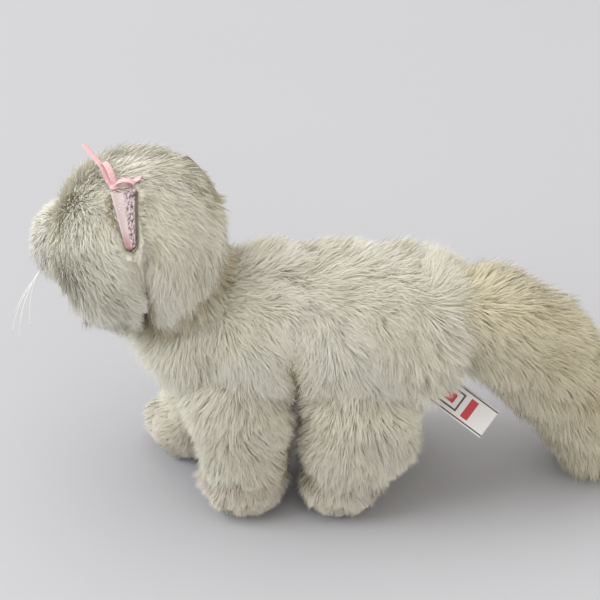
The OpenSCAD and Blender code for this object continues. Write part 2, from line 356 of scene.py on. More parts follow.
def leg_skin(leg, inset, sole=SKIN_GAP):
    half_x, half_y, centre, y, top = leg_shape(leg)
    rise = (1 - np.cos(np.linspace(0, np.pi, 34))) / 2
    z = sole + (top - inset - sole) * rise
    z = z[:-1]
    around = turns(44)
    sole_inset = inset - 0.5 * (1 - step_up(z, 12, 36))
    wide = np.maximum(half_x(z) - sole_inset, 0.8)
    deep = np.maximum(half_y(z) - sole_inset, 0.8)
    blunt = 2 / 2.3
    c, s = np.cos(around), np.sin(around)
    rings = np.zeros((len(z), len(around), 3))
    rings[:, :, 0] = centre(z)[:, None] + wide[:, None] * np.sign(c) * np.abs(c) ** blunt
    rings[:, :, 1] = y + deep[:, None] * np.sign(s) * np.abs(s) ** blunt
    rings[:, :, 2] = z[:, None]
    start = np.array([centre(sole), y, sole])
    end = np.array([centre(top), y, top - inset])
    return loft(rings, start, end)


# The tail's line from its root, as steps back, right and up from the root's centre, and its radius.
TAIL_LINE = np.array(
    [
        [-8, 0, 1, 20],
        [8, 0, 0, 24],
        [30, 0, -5, 27],
        [60, 3, -30, 28.5],
        [86, 8, -66, 27],
        [98, 12, -94, 26],
    ]
)


def tail_line(count):
    """Points along the tail's middle, evenly spaced, with their radii."""
    knots = TAIL_LINE.astype(float)
    ends = np.vstack([2 * knots[0] - knots[1], knots, 2 * knots[-1] - knots[-2]])
    fine = []
    for i in range(len(knots) - 1):
        p0, p1, p2, p3 = ends[i : i + 4]
        for t in np.linspace(0, 1, 12, endpoint=False):
            square = (2 * p0 - 5 * p1 + 4 * p2 - p3) * t**2
            cube = (3 * p1 - p0 - 3 * p2 + p3) * t**3
            fine.append(0.5 * (2 * p1 + (p2 - p0) * t + square + cube))
    fine = np.array(fine + [knots[-1]])
    run = np.r_[0, np.cumsum(np.linalg.norm(np.diff(fine[:, :3], axis=0), axis=1))]
    even = np.linspace(0, run[-1], count)
    line = np.stack([np.interp(even, run, fine[:, k]) for k in range(4)], 1)
    return TAIL_ROOT + line[:, :3], line[:, 3]


def tail_skin(inset):
    line, radius = tail_line(40)
    along = unit(np.gradient(line, axis=0))
    side = np.array([0.0, 1.0, 0.0])
    other = np.cross(along, side)
    around = turns(48)[None, :, None]
    rings = []
    for share in np.linspace(0.25, 0.95, 5):
        tight = math.sqrt(1 - (1 - share) ** 2)
        at = line[0] - along[0] * radius[0] * (1 - share) * 0.6
        rings.append(ring(at, side, other[0], (radius[0] - inset) * tight, around))
    for i in range(len(line)):
        rings.append(ring(line[i], side, other[i], radius[i] - inset, around))
    for share in np.linspace(0.15, 0.95, 9):
        tight = math.sqrt(1 - share**2)
        at = line[-1] + along[-1] * (radius[-1] - inset) * share
        rings.append(ring(at, side, other[-1], (radius[-1] - inset) * tight, around))
    rings = np.array(rings)
    start = line[0] - along[0] * radius[0] * 0.6
    end = line[-1] + along[-1] * (radius[-1] - inset)
    points, faces, _ = loft(rings, start, end)
    points[:, 2] = np.maximum(points[:, 2], SKIN_GAP)
    return points, faces, vertex_normals(points, faces)


def ring(centre, side, other, radius, around):
    return centre + radius * (np.cos(around) * side + np.sin(around) * other)[0]


# ---- How deep a point lies inside each body, in millimetres ----


def inside_torso(p):
    from_axis = np.hypot(p[:, 1] - TORSO_AXIS[1], p[:, 2] - TORSO_AXIS[2])
    return np.where(
        (p[:, 0] > TORSO_FRONT) & (p[:, 0] < TORSO_FRONT + TORSO_LENGTH),
        torso_reach(p[:, 0]) - from_axis,
        -50,
    )


def inside_ball(centre, radius):
    return lambda p: radius - distance(p, centre)


def inside_leg(leg):
    half_x, half_y, centre, y, top = leg_shape(leg)

    def depth(p):
        z = p[:, 2]
        wide, deep = np.maximum(half_x(z), 1), np.maximum(half_y(z), 1)
        out = np.hypot((p[:, 0] - centre(z)) / wide, (p[:, 1] - y) / deep)
        return np.where(z < top, (1 - out) * np.minimum(wide, deep), -50)

    return depth


def inside_tail(p):
    line, radius = tail_line(24)
    away = np.linalg.norm(p[:, None] - line[None], axis=2)
    return (radius - away).max(1)


# ---- Fur ----


def scatter(skin, keep, cover, count, rng):
    """Random places on the kept faces, as dense as cover says, with the skin's normal at each."""
    points, faces, normals = skin
    faces = faces[keep]
    a, b, c = corner_points(points, faces)
    area = np.linalg.norm(np.cross(b - a, c - a), axis=1)
    ends = np.cumsum(area * (cover((a + b + c) / 3) + 1e-6))
    at = (np.arange(count) + rng.random(count)) / count * ends[-1]
    pick = np.minimum(np.searchsorted(ends, at), len(faces) - 1)
    r, s = np.sqrt(rng.random(count)), rng.random(count)
    share = np.stack([1 - r, r * (1 - s), r * s], 1)[:, :, None]
    chosen = faces[pick]
    return (points[chosen] * share).sum(1), unit((normals[chosen] * share).sum(1))


def grow(root, normal, comb, length, rise, fall, turn):
    """Points along each strand: it leaves the skin at angle rise and ends at angle fall to it."""
    flow = unit(comb - dot(comb, normal) * normal)
    flow = flow * np.cos(turn)[:, None] + np.cross(normal, flow) * np.sin(turn)[:, None]
    line = [root]
    for k in range(STEPS):
        share = (k + 0.5) / STEPS
        angle = (rise + (fall - rise) * share)[:, None]
        way = np.cos(angle) * flow + np.sin(angle) * normal
        way[:, 2] -= SINK * share
        line.append(line[-1] + unit(way) * length[:, None] / STEPS)
    return np.stack(line, 1)


def nearest(places, targets):
    tree = KDTree(len(targets))
    for i, target in enumerate(targets):
        tree.insert(target, i)
    tree.balance()
    return np.array([tree.find(p)[1] for p in places])


def comb_locks(root, normal, lock_root, lock_normal, style, seed, rng):
    """The line of each strand, drawn toward the leading strand of its lock, and its lock."""
    bend = math.radians(style["bend"])

    def lines(p, n, stray, size):
        rise = np.radians(style["rise"]) * (1 + 0.25 * rng.normal(size=len(p)))
        fall = np.radians(style["fall"]) + 0.22 * rng.normal(size=len(p))
        turn = stray * rng.normal(size=len(p)) + bend * waves(p, 26, seed + 1)
        length = style["length"](p) * size * rng.uniform(0.74, 1.14, len(p))
        length = length * (1 + 0.13 * waves(p, 20, seed + 3))
        return grow(p, n, style["comb"](p), length, rise, fall, turn)

    loose = math.radians(style["loose"])
    own = lines(root, normal, loose, 1.0)
    lead = lines(lock_root, lock_normal, loose * 1.3, 1.06)
    lock = nearest(root, lock_root)
    share = np.linspace(0, 1, STEPS + 1)[None, :, None]
    pull = np.clip(style["pull"](root) * rng.uniform(0.6, 1.15, len(root)), 0, 0.95)
    apart = (root - lock_root[lock])[:, None]
    gathered = lead[lock] + apart * (1 - CLOSING * share)
    # The rest of a lock keeps its own slight curve.
    line = own + (gathered - own) * pull[:, None, None] * share**0.8
    line[:, :, 2] = np.maximum(line[:, :, 2], STRAND_GAP)
    return line, lock


def strand_levels(root, lock, locks, style, rng):
    """Each strand's tint: it varies over the cover, from lock to lock and from strand to strand."""
    tone = style.get("tone", 0.6) + 0.08 * waves(root, 46, 5) + 0.06 * rng.normal(size=len(root))
    tone += 0.04 * waves(root, 17, 7) + 0.04 * rng.normal(size=locks)[lock]
    # Painted shade: where the style's shade is high, a strand takes a lower, darker tint.
    if "shade" in style:
        tone -= 0.75 * style["shade"](root)
    return np.clip(tone * (LEVELS - 1), 0, LEVELS - 2).astype(int)


def fur(name, body, skin, keep, style, seed, node=None):
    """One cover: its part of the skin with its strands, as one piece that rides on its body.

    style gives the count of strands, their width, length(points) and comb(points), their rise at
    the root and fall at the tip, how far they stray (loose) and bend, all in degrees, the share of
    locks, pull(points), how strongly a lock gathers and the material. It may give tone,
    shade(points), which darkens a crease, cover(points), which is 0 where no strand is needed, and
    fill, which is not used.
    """
    rng = np.random.default_rng(seed)
    count = int(style["count"] * THIN_OUT)
    cover = style.get("cover", spread(1))
    root, normal = scatter(skin, keep, cover, count, rng)
    locks = max(20, int(count * style["share"] / THIN_OUT))
    lock_root, lock_normal = scatter(skin, keep, cover, locks, rng)
    line, lock = comb_locks(root, normal, lock_root, lock_normal, style, seed, rng)
    level = strand_levels(root, lock, locks, style, rng)
    width = style["width"] / math.sqrt(THIN_OUT) * rng.uniform(0.75, 1.25, count)
    strands = ribbons(line, normal, width, level, rng)
    piece = fur_mesh(name, strands, shell(skin, keep))
    piece.data.materials.append(style["material"])
    piece.data.materials.append(backing_material)
    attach(piece, body)
    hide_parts(node or name)
    style.get("fill", 0.7)
    return piece


def ribbons(line, normal, width, level, rng):
    """Each strand as a thin tapering ribbon: vertices, normals, and the corners of its faces."""
    count = len(line)
    along = unit(np.gradient(line, axis=1))
    twist = rng.normal(0, 0.5, count)
    flow = unit(np.cross(normal, along[:, 0]))
    facing = normal * np.cos(twist)[:, None] + flow * np.sin(twist)[:, None]
    side = unit(np.cross(along, facing[:, None]))
    taper = np.array([0.8, 1.0, 0.72, 0.0])[None, :, None]
    half = side * taper * width[:, None, None] / 2

    def in_turn(left, right, middle):
        """Left and right at each step up the strand, and then its tip."""
        edges = [edge[:, step] for step in range(STEPS) for edge in (left, right)]
        return np.stack([*edges, middle[:, STEPS]], 1).reshape(-1, 3)

    flat = unit(np.cross(side, along))
    soft = unit(0.14 * flat + 0.95 * normal[:, None] + 0.1 * along)
    verts = in_turn(line - half, line + half, line)
    normals = in_turn(unit(soft - 0.22 * side), unit(soft + 0.22 * side), soft)
    corners = np.array([0, 1, 3, 2, 2, 3, 5, 4, 4, 5, 6])
    first = (np.arange(count) * STRAND_VERTS)[:, None]
    depth = np.array([0, 0, 1, 1, 2, 2, 3]) / STEPS
    across = np.array([0.1, 0.9, 0.1, 0.9, 0.1, 0.9, 0.5])
    uv = np.zeros((count, len(corners), 2))
    uv[:, :, 0] = depth[corners]
    uv[:, :, 1] = (level[:, None] + across[corners]) / LEVELS
    return verts, normals, (first + corners).ravel(), uv.reshape(-1, 2)


def shell(skin, keep, thickness=1.6):
    """The kept faces as a thin closed shell: points, normals and triangles."""
    points, faces, normals = skin
    used = np.unique(faces[keep])
    place = np.full(len(points), -1)
    place[used] = np.arange(len(used))
    outer = place[faces[keep]]
    p, n = points[used], normals[used]
    size = len(p)
    edges = np.vstack([outer[:, [0, 1]], outer[:, [1, 2]], outer[:, [2, 0]]])
    known = set(map(tuple, edges.tolist()))
    rim = np.array([e for e in edges.tolist() if (e[1], e[0]) not in known], int).reshape(-1, 2)
    walls = np.vstack(
        [
            np.stack([rim[:, 1], rim[:, 0], rim[:, 0] + size], 1),
            np.stack([rim[:, 1], rim[:, 0] + size, rim[:, 1] + size], 1),
        ]
    )
    inner = outer[:, ::-1] + size
    return np.vstack([p, p - thickness * n]), np.vstack([n, -n]), np.vstack([outer, inner, walls])


def fur_mesh(name, strands, backing):
    """Strands and backing as one mesh, with soft normals and a map from strand to colour."""
    verts, normals, corners, uv = strands
    back_verts, back_normals, triangles = backing
    strand_faces = np.tile(STRAND_FACES, len(verts) // STRAND_VERTS)
    totals = np.r_[strand_faces, np.full(len(triangles), 3)]
    starts = np.r_[0, np.cumsum(totals)[:-1]]
    loops = np.r_[corners, triangles.ravel() + len(verts)]
    every = np.vstack([verts, back_verts]) * MM
    mesh = bpy.data.meshes.new(name)
    mesh.vertices.add(len(every))
    mesh.vertices.foreach_set("co", every.ravel())
    mesh.loops.add(len(loops))
    mesh.loops.foreach_set("vertex_index", loops.astype(np.int32))
    mesh.polygons.add(len(totals))
    mesh.polygons.foreach_set("loop_start", starts.astype(np.int32))
    slots = np.r_[np.zeros(len(strand_faces)), np.ones(len(triangles))]
    layer = mesh.uv_layers.new(name=BAKE_UV)
    band = (LEVELS - 1) / LEVELS
    back_uv = np.tile([[0.0, band], [1.0, band], [0.5, 1.0]], (len(triangles), 1))
    mesh.polygons.foreach_set("material_index", slots.astype(np.int32))
    mesh.polygons.foreach_set("use_smooth", np.ones(len(totals), bool))
    layer.data.foreach_set("uv", np.vstack([uv, back_uv]).ravel())
    mesh.update(calc_edges=True)
    mesh.normals_split_custom_set_from_vertices(np.vstack([normals, back_normals]))
    return placed(name + "_fur", mesh)


# ---- Materials ----


def feed(material, node, inputs):
    """Sets a node's inputs, each to a number, to a colour or to the output that feeds it."""
    for name, value in inputs.items():
        socket = node.inputs[name]
        if isinstance(value, bpy.types.NodeSocket):
            material.node_tree.links.new(value, socket)
        elif isinstance(value, tuple):
            socket.default_value = (*value, 1)[: len(socket.default_value)]
        else:
            socket.default_value = value


def add_node(material, kind, inputs, **settings):
    node = material.node_tree.nodes.new("ShaderNode" + kind)
    for name, value in settings.items():
        setattr(node, name, value)
    feed(material, node, inputs)
    return node


def new_material(name):
    material = bpy.data.materials.new(name)
    material.use_nodes = True
    return material


def mapped(name):
    """A material with its map, and its place along and across a piece on that map."""
    material = new_material(name)
    place = add_node(material, "UVMap", {}, uv_map=BAKE_UV).outputs["UV"]
    parts = add_node(material, "SeparateXYZ", {"Vector": place}).outputs
    return material, place, parts["X"], parts["Y"]


def finished(material, colour, looks):
    """The material with its colour and its looks, such as its roughness."""
    feed(material, material.node_tree.nodes["Principled BSDF"], {"Base Color": colour, **looks})
    return material


def ramp(material, value, stops):
    """The colour at a value, from stops that each give a value and a colour."""
    node = add_node(material, "ValToRGB", {"Fac": value})
    elements = node.color_ramp.elements
    elements[0].position, elements[0].color = stops[0][0], (*stops[0][1], 1)
    elements[1].position, elements[1].color = stops[-1][0], (*stops[-1][1], 1)
    for position, colour in stops[1:-1]:
        elements.new(position).color = (*colour, 1)
    return node.outputs["Color"]


def fine_noise(material, place, scale, stops):
    noise = add_node(material, "TexNoise", {"Vector": place, "Scale": scale, "Detail": 2})
    return ramp(material, noise.outputs["Fac"], stops)


def grain(material, place, along, across, low, high):
    """Fine noise on a map, with its own scale along and across, between two tints."""
    scaled = add_node(material, "VectorMath", {0: place, 1: (along, across, 1)}, operation="MULTIPLY")
    return fine_noise(material, scaled.outputs["Vector"], 1, [(0.38, low), (0.62, high)])


def calculated(material, operation, a, b):
    return add_node(material, "Math", {0: a, 1: b}, operation=operation).outputs["Value"]


def between(material, value, low, high):
    """1 where a value lies between low and high, and 0 elsewhere."""
    above = calculated(material, "GREATER_THAN", value, low)
    below = calculated(material, "LESS_THAN", value, high)
    return calculated(material, "MULTIPLY", above, below)


def blended(material, mask, under, over, blend_type="MIX"):
    """over on top of under where the mask is 1."""
    inputs = {"Factor": mask, "A": under, "B": over}
    node = add_node(material, "Mix", inputs, data_type="RGBA", blend_type=blend_type)
    return node.outputs["Result"]


# Painted shade: the tints of strands deep in a crease and at its edge.
DEEP_SHADE = (0.24, 0.19, 0.11)
SHADED = (0.60, 0.52, 0.38)


def fur_material(name, root, body, tip, warm, cool):
    """Fur whose colour runs from root to tip, from warm strands to cool ones; the darker roots are
    painted shade among the strands.
    """
    material, _, along, level = mapped(name)
    colour = ramp(material, along, [(0.0, root), (0.35, body), (1.0, tip)])
    tint = ramp(material, level, [(0.0, DEEP_SHADE), (0.12, SHADED), (0.32, warm), (1.0, cool)])
    looks = {"Roughness": 0.62, "Specular IOR Level": 0.35}
    looks.update({"Sheen Weight": 0.25, "Sheen Roughness": 0.4})
    return finished(material, blended(material, 1.0, colour, tint, "MULTIPLY"), looks)


def speckled(name, low, high, size, roughness):
    """A fabric or fibre whose colour varies finely between two tints."""
    material = new_material(name)
    place = add_node(material, "TexCoord", {}).outputs["Object"]
    colour = fine_noise(material, place, 1 / (size * MM), [(0.35, low), (0.65, high)])
    return finished(material, colour, {"Roughness": roughness})


long_pile = fur_material(
    "long_pile",
    (0.72, 0.69, 0.59),
    (0.88, 0.87, 0.79),
    (0.97, 0.97, 0.94),
    (0.91, 0.88, 0.77),
    (1.0, 1.0, 1.0),
)
tail_pile = fur_material(
    "tail_pile",
    (0.70, 0.64, 0.49),
    (0.88, 0.84, 0.70),
    (0.93, 0.91, 0.82),
    (0.93, 0.89, 0.77),
    (1.0, 0.99, 0.97),
)
short_pile = fur_material(
    "short_pile",
    (0.68, 0.62, 0.50),
    (0.80, 0.76, 0.66),
    (0.86, 0.83, 0.75),
    (0.94, 0.91, 0.83),
    (1.0, 0.99, 1.0),
)
muzzle_pile = fur_material(
    "muzzle_pile",
    (0.78, 0.75, 0.67),
    (0.88, 0.87, 0.81),
    (0.92, 0.915, 0.885),
    (0.97, 0.94, 0.88),
    (1.0, 1.0, 0.99),
)


def ear_satin():
    """Smooth lilac cloth, pinker at the tip, with a speckled knit strip along the back edge."""
    material, place, along, across = mapped("ear_satin")
    lilac, rose = [(0.0, (0.62, 0.52, 0.53)), (0.65, (0.60, 0.47, 0.49))], (0.46, 0.24, 0.26)
    tint = ramp(material, along, [*lilac, (0.9, rose), (1.0, (0.44, 0.22, 0.24))])
    weave = grain(material, place, 60, 26, (0.9, 0.9, 0.9), (1.0, 1.0, 1.0))
    cloth = blended(material, 1.0, tint, weave, "MULTIPLY")
    knit = grain(material, place, 17, 8, (0.035, 0.02, 0.02), (0.56, 0.42, 0.45))
    strip = ramp(material, across, [(0.44, (0, 0, 0)), (0.56, (1, 1, 1))])
    colour = blended(material, strip, cloth, knit)
    return finished(material, colour, {"Roughness": 0.45, "Sheen Weight": 0.3})


def ribbon_satin():
    material, place, _, _ = mapped("ribbon_satin")
    ribs = grain(material, place, 90, 3, (0.78, 0.43, 0.46), (0.92, 0.63, 0.66))
    return finished(material, ribs, {"Roughness": 0.33, "Sheen Weight": 0.4})


def label_satin():
    """White satin with a thin dark line along each side, a red square in a frame and a red bar."""
    material, place, along, across = mapped("label_satin")
    colour = grain(material, place, 30, 120, (0.84, 0.84, 0.84), (0.93, 0.93, 0.93))
    dark, pale, red = (0.10, 0.06, 0.07), (0.88, 0.88, 0.88), (0.62, 0.05, 0.07)
    for low, high in ((0.05, 0.09), (0.91, 0.95)):
        colour = blended(material, between(material, across, low, high), colour, dark)
    for start, end, low, high, tint in (
        (0.16, 0.54, 0.20, 0.80, dark),
        (0.185, 0.515, 0.255, 0.745, pale),
        (0.25, 0.45, 0.35, 0.65, red),
        (0.62, 0.73, 0.18, 0.82, red),
    ):
        long_way = between(material, along, start, end)
        wide_way = between(material, across, low, high)
        inside = calculated(material, "MULTIPLY", long_way, wide_way)
        colour = blended(material, inside, colour, tint)
    return finished(material, colour, {"Roughness": 0.36, "Sheen Weight": 0.2})


def eye_plastic():
    """A glossy eye: a black pupil, a blue iris that pales outward, and a dark rim."""
    material, _, along, _ = mapped("eye_plastic")
    pupil, rim = (0.006, 0.006, 0.008), (0.01, 0.015, 0.03)
    iris = [(0.15, (0.03, 0.12, 0.30)), (0.24, (0.10, 0.34, 0.62)), (0.31, (0.16, 0.46, 0.70))]
    rings = ramp(material, along, [(0.0, pupil), (0.135, pupil), *iris, (0.335, rim), (1.0, rim)])
    return finished(material, rings, {"Roughness": 0.07, "Coat Weight": 1.0, "Coat Roughness": 0.03})


backing_material = speckled("knit_backing", (0.62, 0.57, 0.45), (0.74, 0.69, 0.57), 1.2, 0.9)
stuffing_material = speckled("polyester_fibre", (0.86, 0.86, 0.85), (0.96, 0.96, 0.95), 2.5, 0.9)
ear_material = ear_satin()
ribbon_material = ribbon_satin()
label_material = label_satin()
eye_material = eye_plastic()
nose_material = speckled("nose_plastic", (0.66, 0.30, 0.33), (0.76, 0.40, 0.43), 1.4, 0.32)
thread_material = speckled("embroidery_thread", (0.56, 0.24, 0.27), (0.70, 0.36, 0.38), 0.5, 0.5)
nylon_material = speckled("nylon", (0.78, 0.78, 0.78), (0.90, 0.90, 0.90), 3.0, 0.22)
washer_material = speckled("washer_plastic", (0.62, 0.64, 0.66), (0.74, 0.76, 0.78), 2.0, 0.3)


# ---- Camera, floor and light ----


def point_at(item, target):
    way = Vector(target) - item.location
    item.rotation_euler = way.to_track_quat("-Z", "Y").to_euler()


def make_camera():
    target = np.array([-17.1, -11.2, 134]) * MM
    azimuth, elevation, distance = 0.0, math.radians(38), 2.4
    data = bpy.data.cameras.new("camera")
    data.angle = 2 * math.atan(0.18 / distance)
    camera = placed("camera", data)
    flat = distance * math.cos(elevation)
    camera.location = (
        target[0] + flat * math.sin(azimuth),
        target[1] - flat * math.cos(azimuth),
        target[2] + distance * math.sin(elevation),
    )
    point_at(camera, target)
    bpy.context.scene.camera = camera


def make_floor():
    reach = 8
    corners = [(-reach, -reach, 0), (reach, -reach, 0), (reach, reach, 0), (-reach, reach, 0)]
    mesh = bpy.data.meshes.new("floor")
    mesh.from_pydata(corners, [], [(0, 1, 2, 3)])
    mesh.materials.append(speckled("pale_floor", (0.50, 0.505, 0.54), (0.51, 0.515, 0.55), 400, 0.75))
    placed("floor", mesh)


def area_light(name, place, size, power, colour):
    """A round lamp that points at the middle of the toy."""
    data = bpy.data.lights.new(name, "AREA")
    data.shape = "DISK"
    data.size = size
    data.energy = power
    data.color = colour
    light = placed(name, data)
    light.location = place
    point_at(light, (0, 0, 0.1))


def make_lights():
    area_light("ceiling", (-0.9, 0.3, 3.6), 3.8, 50, (1.0, 0.99, 0.98))
    area_light("window", (-3.1, -0.7, 2.6), 3.2, 90, (0.94, 0.98, 1.0))
    area_light("room", (2.4, -2.2, 1.5), 2.6, 12, (1.0, 0.97, 0.93))
    world = bpy.data.worlds.new("world")
    bpy.context.scene.world = world
    world.use_nodes = True
    background = world.node_tree.nodes["Background"]
    background.inputs["Color"].default_value = (1.0, 0.96, 0.89, 1)
    background.inputs["Strength"].default_value = 0.74


scene = bpy.context.scene
scene.view_settings.view_transform = "Standard"
make_camera()
make_floor()
make_lights()


# ---- The covers ----

# The crevice between the front and the hind leg, which goes up the flank.
CREVICE_X = (pivots["front_left_leg_swing"][0] + pivots["hind_left_leg_swing"][0]) / 2 - 2


def crevice(p):
    """1 along the crevice between the legs on each side, and 0 away from it."""
    return bump(p[:, 0] - CREVICE_X, 8.5) * (1 - step_up(p[:, 2] - TORSO_AXIS[2], -4, 26))


def spread(value):
    """The same value at every place."""
    return lambda p: np.full(len(p), float(value))


def torso_comb(p):
    """Back along the spine, down the flanks, and out from a whorl on the left of the rump."""
    comb = np.zeros_like(p)
    above = step_up(p[:, 2] - TORSO_AXIS[2], 14, 40)
    comb[:, 0] = -0.45 + (1.0 + 0.9 * above) * step_up(p[:, 0] - TORSO_FRONT, 8, 45)
    # The haunch's fur parts over the crevice.
    haunch = bump(p[:, 0] - CREVICE_X - 13, 9) * (p[:, 2] < TORSO_AXIS[2] + 26)
    comb[:, 0] -= 1.1 * haunch
    comb[:, 1] = 0.02 * (p[:, 1] - SPINE_Y)
    comb[:, 2] = -0.9 + 0.4 * above
    whorl = TORSO_AXIS + [TORSO_FRONT + 160, -17, 27]
    out = unit(p - whorl)
    near = step_up(-distance(p, whorl), -42, -16)
    near = (near * step_up(p[:, 0] - whorl[0], -4, 8))[:, None]
    return comb * (1 - near) + 1.4 * out * near


def leg_comb(leg):
    pivot = pivots[leg + "_leg_swing"]

    def comb(p):
        flow = np.zeros_like(p)
        flow[:, 0] = ((p[:, 0] - pivot[0]) * 0.028 + 0.12) * (1 - 0.8 * crevice(p))
        flow[:, 1] = (p[:, 1] - pivot[1]) * 0.01
        flow[:, 2] = -1
        return flow

    return comb


def head_comb(p):
    """Back from the nose over the face, and down the cheeks and the back of the head."""
    local = p - HEAD
    out = unit(p - MUZZLE)
    down = step_up(-local[:, 2], -40, 30)[:, None]
    behind = step_up(past_crease(local), -5, 6)[:, None]
    face = out - (0.35 + 0.8 * down) * UP - 0.5 * FORWARD
    back = -0.5 * FORWARD - (0.6 + 0.8 * down) * UP
    return face * (1 - behind) + back * behind


def tail_comb(p):
    line, _ = tail_line(40)
    along = unit(np.gradient(line, axis=0))
    near = np.argmin(np.linalg.norm(p[:, None] - line[None], axis=2), 1)
    return along[near] + [0, 0, -0.25]


def clear_of(*insides, deep=6):
    """No strand where a place lies deep inside another body."""

    def cover(p):
        return np.prod([np.where(inside(p) > deep, 0.0, 1.0) for inside in insides], axis=0)

    return cover


def centre_of(skin):
    points, faces, _ = skin
    return points[faces].mean(1)


# Every face of a skin.
ALL = slice(None)

LONG = dict(slot="long_pile", material=long_pile, rise=64, fall=26)
LONG.update(loose=16, bend=24, share=0.05, width=0.34)

LEGS = ["front_left", "front_right", "hind_left", "hind_right"]
leg_insides = [inside_leg(leg) for leg in LEGS]
inside_head = inside_ball(HEAD, HEAD_RADIUS)
inside_neck = inside_ball(NECK, NECK_RADIUS)


def rump_tuft(p):
    """1 at the long locks on the left of the rump, and 0 away from them."""
    tuft = TORSO_AXIS + [TORSO_FRONT + 172, -28, 4]
    return 1 - step_up(distance(p, tuft), 14, 34)


def under_head(p):
    """1 close to the head, where it rests on the neck and the shoulders, and 0 away from it."""
    return 1 - step_up(distance(p, HEAD) - HEAD_RADIUS, -2, 12)


def near_label(p):
    """1 where the label leaves the seam, and 0 away from it."""
    low, high = box("label")
    start = pivots["label_flap"] + 0.35 * ((low + high) / 2 - pivots["label_flap"])
    return 1 - step_up(distance(p, start), 18, 38)


# Painted shade on the torso's strands: in the crevice between the legs and under the head.
def torso_shade(p):
    return np.maximum(crevice(p), 0.75 * under_head(p))


def torso_length(p):
    rump_top = step_up(p[:, 0] - TORSO_FRONT, 150, 180) * step_up(p[:, 2] - TORSO_AXIS[2], 10, 30)
    chest = 1 - step_up(p[:, 0] - TORSO_FRONT, 8, 40)
    length = 17 + 11 * rump_tuft(p) + 5 * rump_top + 8 * chest
    return length * (1 - 0.6 * crevice(p)) * (1 - 0.8 * near_label(p))


def torso_pull(p):
    return 0.15 + 0.6 * rump_tuft(p) + 0.25 * step_up(TORSO_AXIS[2] + 20 - p[:, 2], 0, 25)


def make_torso():
    skin = torso_skin(SKIN_DEPTH)
    at = centre_of(skin)
    belly = (np.abs(at[:, 1] - SPINE_Y) < 12) & (at[:, 2] < TORSO_AXIS[2] - 10)
    cover = clear_of(inside_head, inside_neck, inside_tail, *leg_insides)
    style = dict(LONG, count=38000, length=torso_length, comb=torso_comb, pull=torso_pull)
    style.update(rise=54, fall=22, shade=torso_shade, cover=cover)
    fur("body_left_cover", "torso", skin, ~belly & (at[:, 1] < SPINE_Y), style, 11)
    fur("body_right_cover", "torso", skin, ~belly & (at[:, 1] >= SPINE_Y), style, 12)
    fur("belly_cover", "torso", skin, belly, dict(style, count=6000, length=spread(12)), 13)


def make_neck():
    def comb(p):
        return (p - NECK) * [0.02, 0, 0] - [0, 0, 0.9]

    skin = round_skin(NECK, spread(NECK_RADIUS - SKIN_DEPTH))
    style = dict(LONG, count=9000, length=spread(17), comb=comb, pull=spread(0.5))
    # Painted shade on the neck's strands under the head.
    style.update(shade=lambda p: 0.6 * under_head(p), cover=clear_of(inside_head, inside_torso, deep=9))
    fur("neck_cover", "neck", skin, ALL, style, 21)


def at_crease(p):
    return below_ear(p - HEAD)


def head_pull(p):
    """Locks on the cheeks and along the crease, and softer fur elsewhere."""
    low = step_up(HEAD[2] - p[:, 2], -5, 20)
    return 0.12 + 0.55 * low * step_up(-past_crease(p - HEAD), -22, -4)


def mouth_way(angle):
    """Out from the muzzle's middle, at an angle below its axis."""
    dip = MUZZLE_TILT + math.radians(angle)
    return math.cos(dip) * FORWARD - math.sin(dip) * UP


def mouth_places():
    """The middle of each stitch, down the front of the muzzle."""
    return [MUZZLE + (MUZZLE_RADIUS + 0.5) * mouth_way(angle) for angle in MOUTH_ANGLES]


def to_eye(p):
    """The distance to the nearer eye's middle."""
    return np.min([distance(p, eye) for eye in EYES.values()], axis=0)


def head_length(p):
    low = step_up(HEAD[2] - p[:, 2], -10, 30)
    length = 9 + 6 * step_up(distance(p, MUZZLE) - MUZZLE_RADIUS, 2, 30) + 3 * low
    return length * (0.35 + 0.65 * step_up(to_eye(p), 6, 14)) * (1 - 0.45 * at_crease(p))


def muzzle_length(p):
    from_nose = step_up(distance(p, NOSE), 7, 15)
    return 3.5 + from_nose * (4 + 5 * step_up(MUZZLE[2] - p[:, 2], -16, 6))


def make_head():
    skin = head_skin(SKIN_DEPTH)
    at = centre_of(skin)
    muzzle = distance(at, MUZZLE) < MUZZLE_RADIUS + 4
    behind = (at - HEAD) @ FORWARD < -SEAM_BEHIND

    def face_cover(p):
        return clear_of(inside_neck, inside_torso, deep=10)(p) * step_up(to_eye(p), 5, 6.5)

    def muzzle_cover(p):
        to_mouth = np.min([distance(p, place) for place in mouth_places()], axis=0)
        return step_up(distance(p, NOSE), 7, 9) * step_up(to_mouth, 1.2, 2.6)

    style = dict(LONG, count=37000, length=head_length, comb=head_comb, pull=head_pull)
    # Painted shade along the creases below the ears.
    style.update(rise=48, fall=16, shade=at_crease, cover=face_cover)
    fur("face_cover", "head", skin, ~muzzle & ~behind, style, 31)
    fur("head_back_cover", "head", skin, behind, style, 32)
    style = dict(LONG, slot="short_pile", material=muzzle_pile, count=11000, length=muzzle_length)
    style.update(comb=head_comb, pull=spread(0.2), rise=66, fall=36, cover=muzzle_cover)
    style.update(bend=14, share=0.03, width=0.36)
    fur("muzzle_cover", "head", skin, muzzle, style, 33)


def add_filling(node, body, skin):
    """The fibre inside a cover, which follows the cover's own skin."""
    points, faces, _ = skin
    shape = points, faces, flat_map(points, 400)
    filling = add_piece(node + "_fill", shape, stuffing_material, body, node)


